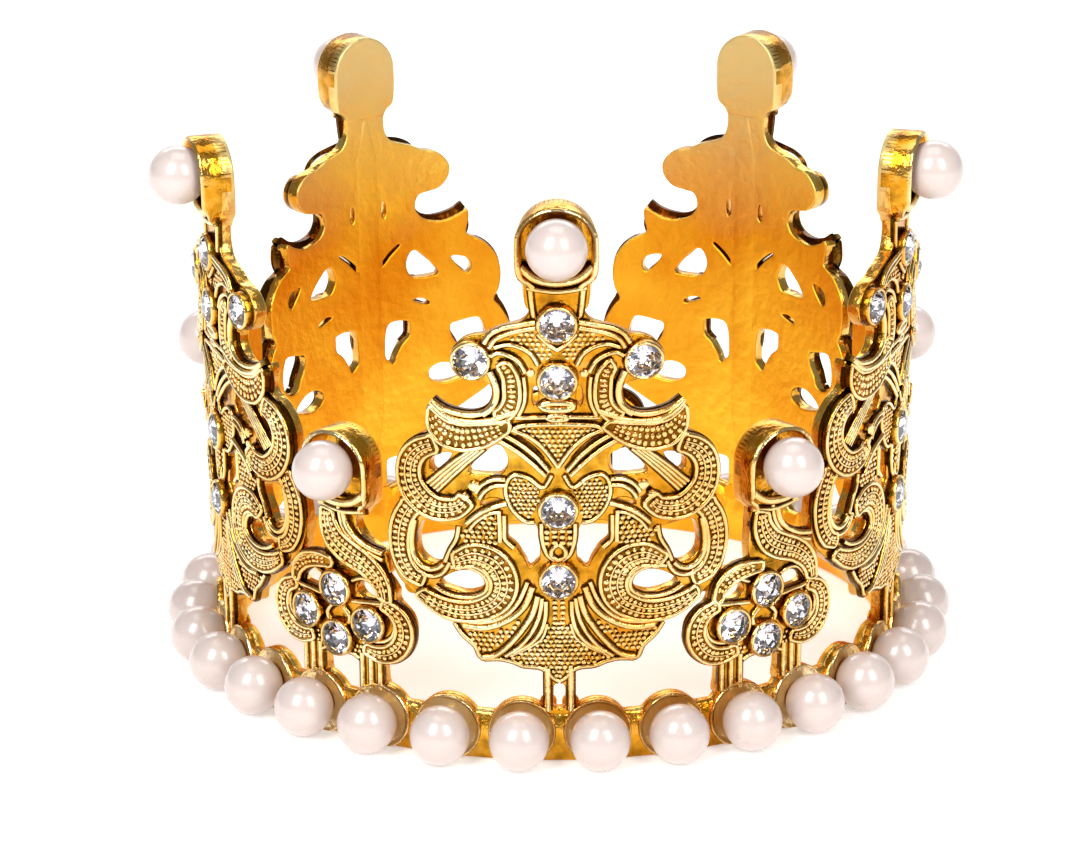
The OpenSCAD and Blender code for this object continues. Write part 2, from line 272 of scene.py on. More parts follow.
class Relief:
    """Closed shapes on the flat drawing. Each point keeps painted light: 0 is painted shade and patina, 1 a
    painted highlight.
    """

    def __init__(self):
        self.points, self.faces, self.painted_lights_and_patina = [], [], []

    def sweep(self, line, profile, closed=False, widths=None, lifts=None):
        """Carries a closed profile of (across, height, painted light) points along a line."""
        first, ring = len(self.points), len(profile)
        for i, p in enumerate(line):
            side = side_at(line, i, closed)
            wide = widths[i] if widths else 1
            for across, h, tone in profile:
                q = p + side * across * wide
                self.points.append((q.x, q.y, h * lifts[i] if lifts and h > 0 else h))
                self.painted_lights_and_patina.append(tone)
        count = len(line)
        for i in range(count if closed else count - 1):
            here, there = first + i * ring, first + (i + 1) % count * ring
            for k in range(ring):
                j = (k + 1) % ring
                self.faces.append((here + k, here + j, there + j, there + k))
        if not closed:
            self.faces.append(tuple(range(first, first + ring)))
            self.faces.append(tuple(range(first + (count - 1) * ring, first + count * ring)))

    def wire(self, points, r, h, closed=False):
        """A round wire of radius r with its middle at height h."""
        turns = [math.pi * k / 6 for k in range(1, 6)]
        # Painted light on each point: a painted highlight along the wire's top, painted shade on its sides,
        # foot and skirt
        crest = [(r * math.cos(a), h + r * math.sin(a), 0.1 + 0.9 * math.sin(a)) for a in turns]
        if h < highest_low_wire:
            wide = r + shade_skirt
            profile = [(r, h, 0.1), *crest, (-r, h, 0.1), (-r, foot_h, 0), (-wide, shade_skirt_h, 0),
                       (-wide, -sunk, 0), (wide, -sunk, 0), (wide, shade_skirt_h, 0), (r, foot_h, 0)]
        else:
            profile = [(r, h, 0.05), *crest, (-r, h, 0.05), (0, h - r, 0)]
        self.sweep(line_through(points, point_gap, closed), profile, closed)

    def grain(self, at, h, along, a, b, tall):
        """A small oval dome, a along and b across. No two are cast quite alike."""
        first = len(self.points)
        across = Vector((along.y, -along.x))
        at = at + along * a * dice.uniform(-0.16, 0.16) + across * b * dice.uniform(-0.12, 0.12)
        a = a * dice.uniform(0.82, 1.12)
        b = b * dice.uniform(0.85, 1.05)
        tall = tall * dice.uniform(0.7, 1.15)
        # Painted highlight on the grain's top, and painted shade round its base
        for size, up, tone in ((1.0, 0.0, 0.12), (0.84, 0.66, 0.8)):
            for k in range(8):
                turn = math.pi * k / 4
                q = at + along * a * size * math.cos(turn) + across * b * size * math.sin(turn)
                self.points.append((q.x, q.y, h + tall * up))
                self.painted_lights_and_patina.append(tone)
        self.points.append((at.x, at.y, h + tall))
        self.painted_lights_and_patina.append(1.0)
        for k in range(8):
            j = (k + 1) % 8
            self.faces.append((first + k, first + j, first + 8 + j, first + 8 + k))
            self.faces.append((first + 8 + k, first + 8 + j, first + 16))
        self.faces.append(tuple(range(first + 7, first - 1, -1)))

    def ribbon(self, points, widths, h, rows, step=0.5):
        """A scroll: a raised strip with a round wire down both edges and rows of grains between."""
        rim = 0.19
        rims = 3.0 * rim
        line = line_through(points, point_gap)
        wide = [width_along(widths, i / (len(line) - 1)) for i in range(len(line))]
        crest_h = h + 0.06
        # Painted shade on the strip's edges and foot, and a little painted light along its middle
        strip = [(-0.56, -0.4, 0), (-0.56, shade_skirt_h, 0), (-0.5, foot_h, 0), (-0.5, h, 0.15),
                 (-0.2, crest_h, 0.2), (0.2, crest_h, 0.2), (0.5, h, 0.15), (0.5, foot_h, 0),
                 (0.56, shade_skirt_h, 0), (0.56, -0.4, 0)]
        self.sweep(line, strip, widths=wide)
        edge = [line[i] + side_at(line, i, False) * (wide[i] / 2 - 0.5 * rim) for i in range(len(line))]
        other = [line[i] - side_at(line, i, False) * (wide[i] / 2 - 0.5 * rim) for i in range(len(line))]
        self.wire(edge[::2] + other[::-2], rim, h + 0.04, closed=True)
        fine = line_through(points, step)
        least_pitch = 0.24
        for row in range(rows):
            for i in range(1, len(fine) - 1):
                pitch = (width_along(widths, i / (len(fine) - 1)) - rims) / rows
                if pitch < least_pitch:
                    continue
                side = side_at(fine, i, False)
                across = pitch * (row + 0.5 - rows / 2)
                self.grain(fine[i] + side * across, h + 0.02, Vector((-side.y, side.x)),
                           0.46 * step, 0.5 * pitch, 0.3)
        for row in range(1, rows):
            ridge = [p + side_at(line, i, False) * (wide[i] - rims) * (row / rows - 0.5)
                     for i, p in enumerate(line)]
            if min(wide) - rims > 0.3:
                self.wire(ridge[1:-1], 0.08, h + 0.2)

    def field(self, corners, h, pitch=0.46, tall=0.2):
        """Grains packed inside an outline."""
        xs = [c[0] for c in corners]
        ys = [c[1] for c in corners]
        row = 0
        y = min(ys) + pitch / 2
        while y < max(ys):
            x = min(xs) + (pitch / 2 if row % 2 else pitch * 0.1)
            while x < max(xs):
                inside = False
                for (ax, ay), (bx, by) in zip(corners, corners[1:] + corners[:1]):
                    if (ay > y) != (by > y) and x < (bx - ax) * (y - ay) / (by - ay) + ax:
                        inside = not inside
                if inside:
                    self.grain(Vector((x, y)), h, Vector((1, 0)), 0.45 * pitch, 0.45 * pitch, tall)
                x += pitch
            y += pitch * 0.88
            row += 1

    def turned(self, at, profile, steps=28):
        """A round shape about an axis out of the drawing, from (radius, height, painted light) points."""
        first, ring = len(self.points), len(profile)
        for i in range(steps):
            turn = 2 * math.pi * i / steps
            for r, h, tone in profile:
                self.points.append((at[0] + r * math.cos(turn), at[1] + r * math.sin(turn), h))
                self.painted_lights_and_patina.append(tone)
        for i in range(steps):
            here, there = first + i * ring, first + (i + 1) % steps * ring
            for k in range(ring):
                j = (k + 1) % ring
                self.faces.append((here + k, here + j, there + j, there + k))

    def bezel(self, at, stone_r):
        """A closed setting: a short tube with a rounded lip that holds the stone's edge."""
        # Painted highlight on the lip, and painted shade low on the tube
        self.turned(at, [
            (stone_r - 0.05, -0.1, 0.1), (stone_r - 0.02, 0.6, 0.2), (stone_r - 0.1, 0.74, 0.5),
            (stone_r + 0.03, 0.8, 0.95), (stone_r + 0.14, 0.72, 0.7), (stone_r + 0.2, 0.5, 0.4),
            (stone_r + 0.24, 0.1, 0.1), (stone_r + 0.28, -0.3, 0.1)
        ])

        # Its closed floor, which fills the plate's hole and shows as a faint disc behind
        plug_r = seat_r - 0.02
        disc_r = seat_r + 0.24
        self.turned(at, [
            (0.0, -0.5, 0.2), (plug_r, -0.5, 0.2), (plug_r, -1.0, 0.4), (disc_r, -1.0, 0.4),
            (disc_r, -1.19, 0.4), (1.3, -1.206, 0.4), (0.6, -1.208, 0.4), (0.0, -1.208, 0.4)
        ])

    def mesh(self, name):
        """The rolled mesh, with the painted light on each point."""
        mesh = bpy.data.meshes.new(name)
        mesh.from_pydata([rolled(s, max(z, ground), h) for s, z, h in self.points], [], self.faces)
        mesh.attributes.new("tone", "FLOAT", "POINT").data.foreach_set("value", self.painted_lights_and_patina)
        backs = [1.0 if h < back_below else 0.0 for s, z, h in self.points]
        mesh.attributes.new("inner", "FLOAT", "POINT").data.foreach_set("value", backs)
        return mesh


def plate_mesh(name, outlines, thick=wall):
    """A plate with rounded edges, filled between its outlines and rolled."""
    round_edge = 0.14
    curve = bpy.data.curves.new(name, "CURVE")
    curve.dimensions = "2D"
    curve.fill_mode = "BOTH"
    curve.extrude = thick / 2 - round_edge
    curve.bevel_depth = round_edge
    curve.bevel_resolution = 2
    curve.offset = -round_edge
    for line in outlines:
        spline = curve.splines.new("POLY")
        spline.points.add(len(line) - 1)
        for point, (x, y) in zip(spline.points, line):
            point.co = (x, y, 0, 1)
        spline.use_cyclic_u = True
    flat = bpy.data.objects.new(name, curve)
    bpy.context.scene.collection.objects.link(flat)
    bpy.context.view_layer.update()
    mesh = bpy.data.meshes.new_from_object(flat.evaluated_get(bpy.context.evaluated_depsgraph_get()))
    bpy.data.objects.remove(flat)
    work = bmesh.new()
    work.from_mesh(mesh)
    bmesh.ops.remove_doubles(work, verts=work.verts, dist=0.004)

    # Cut into strips 1 mm wide, and where the lean begins, so that the flat faces follow the ring
    reach = max(abs(v.co.x) for v in work.verts)
    for k in range(-int(reach), int(reach) + 1):
        cut = work.verts[:] + work.edges[:] + work.faces[:]
        bmesh.ops.bisect_plane(work, geom=cut, dist=1e-5, plane_co=(k + 0.03, 0, 0), plane_no=(1, 0, 0))
    cut = work.verts[:] + work.edges[:] + work.faces[:]
    bmesh.ops.bisect_plane(work, geom=cut, dist=1e-5, plane_co=(0, lean_from, 0), plane_no=(0, 1, 0))
    painted_lights_and_patina, inner = [], []
    for v in work.verts:
        s, z, h = v.co.x, v.co.y, v.co.z - thick / 2
        # Painted light: the flat front takes a middle value under the painted highlights, and its edges a
        # lighter one
        painted_lights_and_patina.append(0.42 if h > -0.02 else 0.55)
        inner.append(1.0 if h < back_below else 0.0)
        v.co = Vector(rolled(s, z, h))
    work.to_mesh(mesh)
    work.free()
    mesh.attributes.new("tone", "FLOAT", "POINT").data.foreach_set("value", painted_lights_and_patina)
    mesh.attributes.new("inner", "FLOAT", "POINT").data.foreach_set("value", inner)
    return mesh


def stone_seats(places):
    """Round holes in a plate under its stones."""
    turns = [2 * math.pi * k / 24 for k in range(24)]
    return [[(s + seat_r * math.cos(t), z + seat_r * math.sin(t)) for t in turns] for s, z in places]


def joined(name, meshes):
    """One piece out of several meshes, with its faces outwards and its flats crisp."""
    bpy.ops.object.select_all(action="DESELECT")
    made = []
    for i, mesh in enumerate(meshes):
        part = bpy.data.objects.new(f"{name}_{i}", mesh)
        bpy.context.scene.collection.objects.link(part)
        part.select_set(True)
        made.append(part)
    bpy.context.view_layer.objects.active = made[0]
    if len(made) > 1:
        bpy.ops.object.join()
    piece = bpy.context.object
    piece.name = piece.data.name = name
    bpy.ops.object.mode_set(mode="EDIT")
    bpy.ops.mesh.select_all(action="SELECT")
    bpy.ops.mesh.dissolve_degenerate(threshold=1e-7)
    bpy.ops.mesh.normals_make_consistent(inside=False)
    bpy.ops.object.mode_set(mode="OBJECT")
    bpy.ops.object.shade_smooth_by_angle(angle=math.radians(50))
    return piece


def placed_copy(piece, name, turn):
    """A copy with its own mesh, turned about the crown's axis."""
    copy = bpy.data.objects.new(name, piece.data.copy())
    copy.data.name = name
    copy.data.transform(Matrix.Rotation(turn, 4, "Z"))
    bpy.context.scene.collection.objects.link(copy)
    return copy


# Polished gold plate over cast zinc. Painted highlight makes its crests pale, and painted shade, with
# some real patina, makes its hollows brown. The unpolished back is a deeper satin orange, and turns a
# paler champagne near its top.
# Patches are 11 mm across, clouds of polish 2.4 mm, mottling 1.2 mm and casting ripples 1 mm. Real
# grain is finer than that, and is drawn this coarse so that it shows.
gold, output = new_material("gold_plated_zinc_alloy")
tone = add_node(gold, "ShaderNodeAttribute", {"attribute_name": "tone"})
inner = add_node(gold, "ShaderNodeAttribute", {"attribute_name": "inner"})
place = add_node(gold, "ShaderNodeTexCoord")
cloud = add_node(gold, "ShaderNodeTexNoise", {},
                 {"Vector": place.outputs["Object"], "Scale": 0.42 / mm, "Detail": 4.0})
mottle = add_node(gold, "ShaderNodeTexNoise", {},
                  {"Vector": place.outputs["Object"], "Scale": 0.8 / mm, "Detail": 3.0})
swing = add_node(gold, "ShaderNodeMapRange", {},
                 {"Value": mottle.outputs["Fac"], "From Min": 0.3, "From Max": 0.7,
                  "To Min": -0.15, "To Max": 0.12})
# Each point's painted light, stirred by the mottling, picks a colour off the ramp: its dark end is painted
# shade, its pale end painted highlight
painted_light_mottled = add_node(gold, "ShaderNodeMath", {"operation": "ADD"},
                {0: tone.outputs["Fac"], 1: swing.outputs["Result"]})
ramp = add_node(gold, "ShaderNodeValToRGB", {}, {"Fac": painted_light_mottled.outputs["Value"]})
stops = ramp.color_ramp.elements
stops[0].position, stops[0].color = 0.0, linear("#55370C")
stops[1].position, stops[1].color = 1.0, linear("#FAE8BC")
for position, shade in ((0.2, "#80591A"), (0.42, "#D99E2A"), (0.7, "#EBCB7C")):
    stop = stops.new(position)
    stop.color = linear(shade)
broad = add_node(gold, "ShaderNodeTexNoise", {},
                 {"Vector": place.outputs["Object"], "Scale": 0.09 / mm, "Detail": 2.0})
patch = add_node(gold, "ShaderNodeMapRange", {},
                 {"Value": broad.outputs["Fac"], "From Min": 0.35, "From Max": 0.65})
satin = add_node(gold, "ShaderNodeMix", {"data_type": "RGBA"},
                 {"Factor": patch.outputs["Result"], "A": linear("#FFD03C"), "B": linear("#EDA31E")})
# The back turns a paler champagne from about 36 mm up, with a ragged edge from the broad patches
split = add_node(gold, "ShaderNodeSeparateXYZ", {}, {"Vector": place.outputs["Object"]})
jittered_height = add_node(gold, "ShaderNodeMath", {"operation": "MULTIPLY_ADD"},
                {0: broad.outputs["Fac"], 1: 12 * mm, 2: split.outputs["Z"]})
paler_towards_top = add_node(gold, "ShaderNodeMapRange", {},
                {"Value": jittered_height.outputs["Value"], "From Min": 36 * mm, "From Max": 50 * mm})
back_tint = add_node(gold, "ShaderNodeMix", {"data_type": "RGBA"},
                     {"Factor": paler_towards_top.outputs["Result"], "A": satin.outputs["Result"], "B": linear("#EBD08C")})
warm = add_node(gold, "ShaderNodeMix", {"data_type": "RGBA", "blend_type": "MULTIPLY"},
                {"Factor": patch.outputs["Result"], "A": ramp.outputs["Color"], "B": linear("#EBD0A0")})
colour = add_node(gold, "ShaderNodeMix", {"data_type": "RGBA"},
                  {"Factor": inner.outputs["Fac"], "A": warm.outputs["Result"],
                   "B": back_tint.outputs["Result"]})
rough = add_node(gold, "ShaderNodeMapRange", {},
                 {"Value": inner.outputs["Fac"], "To Min": 0.14, "To Max": 0.38})
rough_cloud = add_node(gold, "ShaderNodeMath", {"operation": "MULTIPLY_ADD"},
                       {0: cloud.outputs["Fac"], 1: 0.10, 2: rough.outputs["Result"]})
ripple = add_node(gold, "ShaderNodeTexNoise", {},
                  {"Vector": place.outputs["Object"], "Scale": 1.0 / mm, "Detail": 4.0})
bump = add_node(gold, "ShaderNodeBump", {},
                {"Height": ripple.outputs["Fac"], "Strength": 0.6, "Distance": 0.25 * mm})
metal = add_node(gold, "ShaderNodeBsdfPrincipled", {},
                 {"Base Color": colour.outputs["Result"], "Metallic": 1.0,
                  "Roughness": rough_cloud.outputs["Value"], "Normal": bump.outputs["Normal"]})
gold.node_tree.links.new(metal.outputs[0], output.inputs["Surface"])

stone_r = 1.45
tall_stones_at = [(0, 38.1), (-6.8, 34.85), (6.8, 34.85), (0, 33.3), (0, 22.2), (0, 16.1)]
cup_z = 45.0
cup_r = 3.2
cup_thick = 1.34
cup_foot = 1.34
finial_out = 2.6

# Right half of the panel's edge, and its openings
tall_half = [
    (2.1, 41.6), (2.05, 39.6), (2.6, 38.4), (3.7, 37.9), (4.9, 37.5), (5.9, 37.0), (6.9, 36.8), (7.9, 36.3),
    (8.6, 35.3), (8.45, 34.2), (7.6, 33.3), (6.4, 33.0), (5.5, 32.8), (5.1, 32.0), (5.3, 31.1), (6.2, 30.4),
    (7.8, 30.1), (9.2, 30.5), (10.2, 31.0), (10.4, 30.2), (10.1, 28.8), (10.6, 28.4), (11.9, 27.7),
    (13.0, 26.4), (13.4, 24.8), (13.2, 23.2), (12.7, 22.2), (13.3, 21.4), (14.2, 19.8), (14.4, 18.2),
    (14.1, 16.5), (13.5, 15.2), (12.4, 14.2), (11.3, 13.4), (9.6, 12.4), (8.8, 11.9), (8.0, 10.9),
    (7.0, 10.0), (6.7, 9.1), (6.1, 8.7), (4.9, 8.8), (3.8, 8.6), (2.9, 8.25), (1.7, 8.15), (1.35, 7.9),
    (1.3, 7.0), (1.3, 5.4), (1.3, 4.1)
]
tall_openings = [
    [(8.6, 26.6), (9.8, 26.5), (10.4, 26.0), (10.5, 25.3), (10.2, 24.9), (9.6, 25.3)],
    [(4.0, 26.3), (4.4, 27.4), (5.0, 27.6), (5.9, 26.9), (6.7, 26.1), (7.3, 25.2), (6.8, 25.0), (5.3, 25.0),
     (4.5, 25.2)],
    [(1.2, 26.6), (1.9, 27.5), (3.1, 28.4), (3.4, 28.3), (2.4, 27.5), (1.5, 26.6)],
    [(4.6, 22.9), (5.4, 23.0), (6.3, 22.6), (6.2, 22.3), (5.2, 22.6)],
    [(1.6, 32.7), (1.9, 32.6), (2.0, 31.6), (1.8, 31.1), (1.5, 31.5)],
    [(1.9, 20.9), (4.0, 21.0), (4.2, 20.4), (4.1, 19.5), (3.4, 18.9), (2.7, 17.8), (2.4, 17.1), (1.9, 17.5),
     (1.5, 18.2)],
    [(8.4, 20.1), (9.0, 20.3), (10.8, 20.6), (11.4, 20.3), (11.8, 19.1), (11.7, 17.8), (11.0, 17.1),
     (10.2, 16.9), (9.5, 17.2), (9.2, 17.9), (8.5, 19.0)],
    [(6.1, 15.9), (6.5, 16.3), (7.4, 16.55), (8.6, 16.3), (9.7, 15.6), (9.9, 15.2), (9.4, 14.9), (7.8, 14.6),
     (6.8, 14.8), (6.2, 15.2)]
]


def flip(points, m):
    """Points of the right half, or with m = -1 their mirror in the left half."""
    return [(m * s, z) for s, z in points]


tall = Relief()
for m in (1, -1):
    # Outer ring, upper scroll, leaf and the ladder scroll above it, from the lowest layer up
    tall.ribbon(flip([(12.1, 21.9), (12.9, 20.6), (13.25, 19.2), (13.25, 17.9), (12.9, 16.7), (12.2, 15.8),
                      (11.2, 15.4)], m),
                [1.7, 1.8, 1.9, 1.8, 1.7, 1.6, 1.2], 0.1, 2)
    tall.wire(flip([(11.9, 20.6), (12.15, 19.2), (12.15, 17.9), (11.7, 16.9), (10.9, 16.4), (10.1, 16.5),
                    (9.5, 17.0)], m), 0.26, 0.05)
    tall.wire(flip([(8.9, 17.2), (9.5, 16.2), (10.4, 15.8), (11.3, 15.9)], m), 0.2, 0.12)
    tall.ribbon(flip([(8.6, 17.3), (7.0, 18.0), (5.6, 17.7), (4.7, 16.8), (4.4, 15.5), (4.85, 14.3),
                      (5.9, 13.5), (7.3, 13.05), (8.9, 13.1), (10.3, 13.6), (11.6, 14.4)], m),
                [1.3, 2.0, 2.3, 2.4, 2.3, 2.1, 2.0, 1.9, 1.8, 1.5, 1.0], 0.25, 3)
    tall.wire(flip([(8.8, 16.8), (7.6, 16.95), (6.4, 16.6), (5.8, 15.8), (5.9, 15.0), (6.8, 14.4),
                    (8.0, 14.25), (9.3, 14.5), (10.2, 15.0)], m), 0.2, 0.2)
    tall.ribbon(flip([(9.9, 27.5), (11.2, 26.9), (12.0, 25.9), (12.2, 24.7), (11.95, 23.6), (11.2, 22.6),
                      (10.1, 21.95), (9.0, 21.9), (8.0, 22.2), (7.4, 22.9)], m),
                [1.5, 1.8, 2.0, 2.1, 2.2, 2.3, 2.2, 2.0, 1.8, 1.4], 0.35, 3)
    tall.grain(Vector((m * 7.45, 23.25)), 0.4, Vector((1, 0)), 0.45, 0.45, 0.4)
    tall.ribbon(flip([(3.7, 29.6), (4.9, 29.0), (6.3, 28.5), (7.7, 28.3), (8.9, 28.6), (9.7, 29.4),
                      (10.2, 30.7)], m),
                [0.8, 1.6, 2.2, 2.4, 2.4, 1.7, 0.3], 0.5, 3)
    tall.wire(flip([(3.3, 30.7), (4.3, 30.3), (5.4, 29.85), (6.9, 29.65), (8.3, 29.8), (9.3, 30.3),
                    (10.1, 31.1)], m), 0.26, 0.5)
    tall.wire(flip([(4.9, 31.3), (5.6, 30.6), (6.7, 30.2), (8.0, 30.25), (9.2, 30.6), (10.1, 31.2)], m),
              0.26, 0.4)
    tall.ribbon(flip([(4.4, 34.8), (3.75, 33.9), (3.55, 32.7), (3.6, 31.5), (4.1, 30.6), (4.9, 30.0)], m),
                [0.9, 1.3, 1.4, 1.4, 1.4, 1.2], 0.45, 1, step=0.44)
    tall.wire(flip([(5.3, 34.0), (4.85, 32.9), (4.8, 31.8), (5.2, 30.9), (5.9, 30.3)], m), 0.34, 0.3)
    tall.wire(flip([(2.65, 33.6), (2.55, 32.4), (2.65, 31.3), (3.1, 30.3)], m), 0.2, 0.3)

    # Double-wire shoulder, its grains and the small wires under it
    tall.wire(flip([(1.7, 38.3), (2.9, 38.05), (4.2, 37.75), (5.2, 37.2), (5.7, 36.4)], m), 0.24, 0.45)
    tall.wire(flip([(1.7, 37.8), (2.9, 37.55), (4.0, 37.2), (4.9, 36.7), (5.3, 36.0)], m), 0.22, 0.4)
    tall.wire(flip([(1.5, 37.3), (0.8, 36.5), (0, 35.9)], m), 0.2, 0.3)
    tall.wire(flip([(1.5, 34.6), (2.0, 35.5), (2.9, 36.1), (3.9, 36.3), (4.9, 36.0)], m), 0.2, 0.25)
    tall.wire(flip([(2.5, 34.0), (3.0, 34.9), (3.8, 35.4), (4.6, 35.6), (5.2, 35.3)], m), 0.2, 0.35)
    tall.field(flip([(0.3, 35.3), (0.8, 36.2), (1.6, 37.1), (2.6, 37.3), (4.0, 36.9), (3.6, 36.5),
                     (2.6, 36.2), (1.8, 35.7), (1.3, 34.9)], m), 0.02)
    tall.grain(Vector((m * 2.15, 33.9)), 0.0, Vector((1, 0)), 0.42, 0.42, 0.4)

    # Tab lobes, the line of wire, the V bars and the strap across the upper scroll
    tall.wire(flip([(0, 29.6), (1.6, 29.55), (3.0, 29.4), (3.7, 29.0)], m), 0.2, 0.3)
    tall.wire(flip([(0.9, 30.2), (2.0, 30.15), (3.3, 30.1)], m), 0.2, 0.25)
    tall.wire(flip([(3.7, 29.1), (2.3, 28.5), (1.2, 27.6), (0.45, 26.6), (0, 25.9)], m), 0.18, 0.3)
    tall.wire(flip([(4.2, 28.6), (3.0, 27.9), (1.8, 26.9), (0.7, 25.6)], m), 0.2, 0.35)
    tall.wire(flip([(4.6, 28.1), (3.3, 27.3), (2.1, 26.3), (1.0, 25.2)], m), 0.2, 0.35)
    for offset in (0.0, 0.5, 1.0, 1.5):
        tall.wire(flip([(5.9 + offset * 0.8, 27.3 - offset * 0.15), (7.7 + offset * 0.7, 25.6 + offset * 0.1),
                        (9.8 + offset * 0.55, 23.4 + offset * 0.4)], m), 0.2, 0.22)

    # Wings round the lower stones, the hooks beside them and the grained head between the openings
    tall.field(flip([(1.3, 23.7), (2.3, 24.6), (3.3, 24.9), (3.9, 24.2), (4.0, 23.3), (3.5, 22.2),
                     (2.5, 21.4), (2.0, 21.6)], m), 0.12, 0.4)
    tall.wire(flip([(0.5, 25.2), (1.2, 24.1), (2.3, 24.9), (3.4, 25.2), (4.05, 24.6), (4.15, 23.4),
                    (3.6, 22.1), (2.7, 21.2), (1.9, 21.1)], m), 0.18, 0.2)
    tall.wire(flip([(4.2, 24.75), (5.2, 24.7), (6.1, 24.2), (6.6, 23.5)], m), 0.2, 0.25)
    tall.wire(flip([(4.2, 24.25), (5.1, 24.15), (5.9, 23.65), (6.3, 23.0)], m), 0.2, 0.25)
    tall.wire(flip([(4.1, 22.7), (5.3, 22.3), (6.4, 21.7), (7.4, 20.8)], m), 0.24, 0.3)
    tall.wire(flip([(4.7, 21.9), (5.6, 21.7), (6.6, 21.0), (7.2, 20.2)], m), 0.18, 0.2)
    tall.grain(Vector((m * 6.75, 24.1)), 0.0, Vector((1, 0)), 0.6, 0.55, 0.55)
    tall.field(flip([(4.95, 21.6), (5.8, 21.4), (7.0, 20.2), (7.9, 20.3), (8.0, 19.5), (7.0, 19.0),
                     (5.0, 19.0)], m), 0.1, 0.48, 0.24)
    tall.wire(flip([(4.75, 22.0), (4.7, 20.5), (4.7, 19.3)], m), 0.2, 0.2)
    tall.wire(flip([(4.35, 21.6), (4.35, 20.4), (4.3, 19.5), (3.6, 18.8)], m), 0.2, 0.1)
    tall.wire(flip([(8.1, 20.4), (8.3, 19.3), (8.9, 18.2), (9.3, 17.2)], m), 0.2, 0.05)

    # Feathers of the fan, from the middle outwards
    tall.wire(flip([(1.05, 14.2), (1.1, 12.8), (1.5, 11.5), (2.4, 10.4), (3.7, 9.6)], m), 0.2, 0.15)
    tall.wire(flip([(1.35, 14.5), (1.6, 12.9), (2.2, 11.5), (3.2, 10.2), (4.4, 9.3)], m), 0.2, 0.2)
    tall.wire(flip([(1.7, 14.7), (2.1, 13.2), (2.9, 11.8), (4.0, 10.4), (5.1, 9.4), (6.2, 9.1)], m),
              0.26, 0.25)
    tall.field(flip([(2.3, 13.3), (3.2, 12.4), (4.2, 11.7), (5.3, 11.3), (8.0, 11.6), (7.3, 10.5), (6.6, 9.6),
                     (5.6, 9.6), (4.6, 10.4), (3.4, 11.7)], m), 0.08, 0.46, 0.22)
    tall.wire(flip([(2.1, 15.5), (2.7, 13.9), (3.6, 12.9), (4.9, 12.1), (6.3, 11.7), (7.8, 11.8)], m),
              0.28, 0.3)
    tall.wire(flip([(2.5, 15.9), (3.1, 14.4), (4.0, 13.2), (5.3, 12.4), (6.8, 12.15), (8.4, 12.2)], m),
              0.22, 0.25)
    tall.wire(flip([(8.6, 11.9), (7.9, 10.9), (6.9, 10.0), (6.5, 9.1), (6.0, 8.9)], m), 0.2, 0.1)
    tall.wire(flip([(0.95, 12.2), (1.4, 10.9), (2.6, 10.0), (4.0, 9.3)], m), 0.14, 0.1)
    tall.wire(flip([(6.1, 8.9), (4.9, 9.0), (3.8, 8.8), (2.9, 8.45), (1.7, 8.35), (1.0, 8.0), (0.5, 7.4),
                    (0, 7.1)], m), 0.18, 0.1)
    tall.field(flip([(0.0, 12.3), (0.8, 12.2), (1.3, 10.9), (2.5, 9.9), (4.2, 9.1), (2.9, 8.7), (1.2, 8.5),
                     (0.5, 7.7), (0.0, 7.4)], m),
               0.08, 0.44, 0.22)
    for k in range(5):
        tall.grain(Vector((m * 0.32, 14.1 - 0.45 * k)), 0.08, Vector((0, 1)), 0.2, 0.26, 0.22)
    for k in range(3):
        tall.grain(Vector((m * 0.32, 20.4 - 0.5 * k)), 0.25, Vector((0, 1)), 0.22, 0.28, 0.25)
        tall.grain(Vector((m * 0.9, 20.3 - 0.5 * k)), 0.15, Vector((0, 1)), 0.22, 0.26, 0.22)
    tall.wire(flip([(1.35, 21.0), (1.3, 19.6), (0.9, 18.3), (0, 17.5)], m), 0.2, 0.15)
    tall.wire(flip([(0.0, 19.2), (0.5, 18.8), (0.55, 18.2), (0.0, 17.8)], m), 0.2, 0.25)
    tall.wire(flip([(0.95, 8.3), (0.95, 6.8), (0.95, 4.5)], m), 0.3, 0.0)

    # Edge of the neck
    tall.wire(flip([(2.1, 41.2), (1.95, 39.7), (1.8, 38.6)], m), 0.22, 0.0)

tall.field([(-3.2, 29.2), (3.2, 29.2), (1.9, 28.3), (0.8, 27.3), (0, 26.3), (-0.8, 27.3), (-1.9, 28.3)],
           0.05, 0.46)
tall.wire([(-1.35, 31.15), (-0.7, 30.85), (0.7, 30.85), (1.35, 31.15), (0.7, 31.4), (-0.7, 31.4)],
          0.3, 0.25, closed=True)
tall.wire([(-0.9, 30.1), (0, 29.9), (0.9, 30.1), (0, 30.35)], 0.22, 0.2, closed=True)
for at in tall_stones_at:
    tall.bezel(at, stone_r)


def cup_edge(r, z):
    """Edge of a pearl cup from one foot over the top to the other: a horseshoe whose legs draw in."""
    arc = [(r * math.cos(math.radians(a)), z + r * math.sin(math.radians(a))) for a in range(-5, 186, 19)]
    foot = [(0.62 * r, z - cup_foot * r), (0.72 * r, z - 1.16 * r), (0.93 * r, z - 0.98 * r),
            (0.99 * r, z - 0.6 * r)]
    return foot + arc + [(-x, y) for x, y in reversed(foot)]


